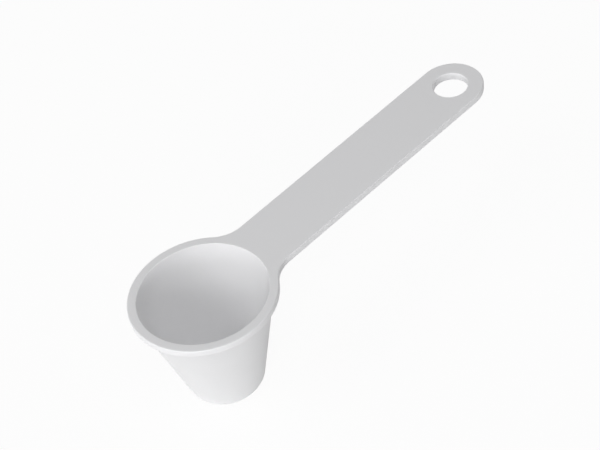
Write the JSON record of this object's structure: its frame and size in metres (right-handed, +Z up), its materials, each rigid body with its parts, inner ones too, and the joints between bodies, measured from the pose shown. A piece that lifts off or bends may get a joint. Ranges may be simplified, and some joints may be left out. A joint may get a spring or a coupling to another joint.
{
  "type": "measuring spoon",
  "caption": "Tapered upright measuring cup with a flat rim ring, and a flat handle level with the rim that ends in a round tip with a hang hole, for scooping and levelling kitchen ingredients.",
  "frame": {"origin": "centre of the cup's flat base, where the upright spoon rests on a table", "axes": "+Z up the cup's axis, +X along the handle from the cup to the hang hole, +Y across the handle"},
  "size_m": [0.1163, 0.0372, 0.032],
  "materials": {
    "white_plastic": "satin"
  },
  "bodies": {
    "root": {"cup": "white_plastic", "handle": "white_plastic"}
  },
  "joints": []
}
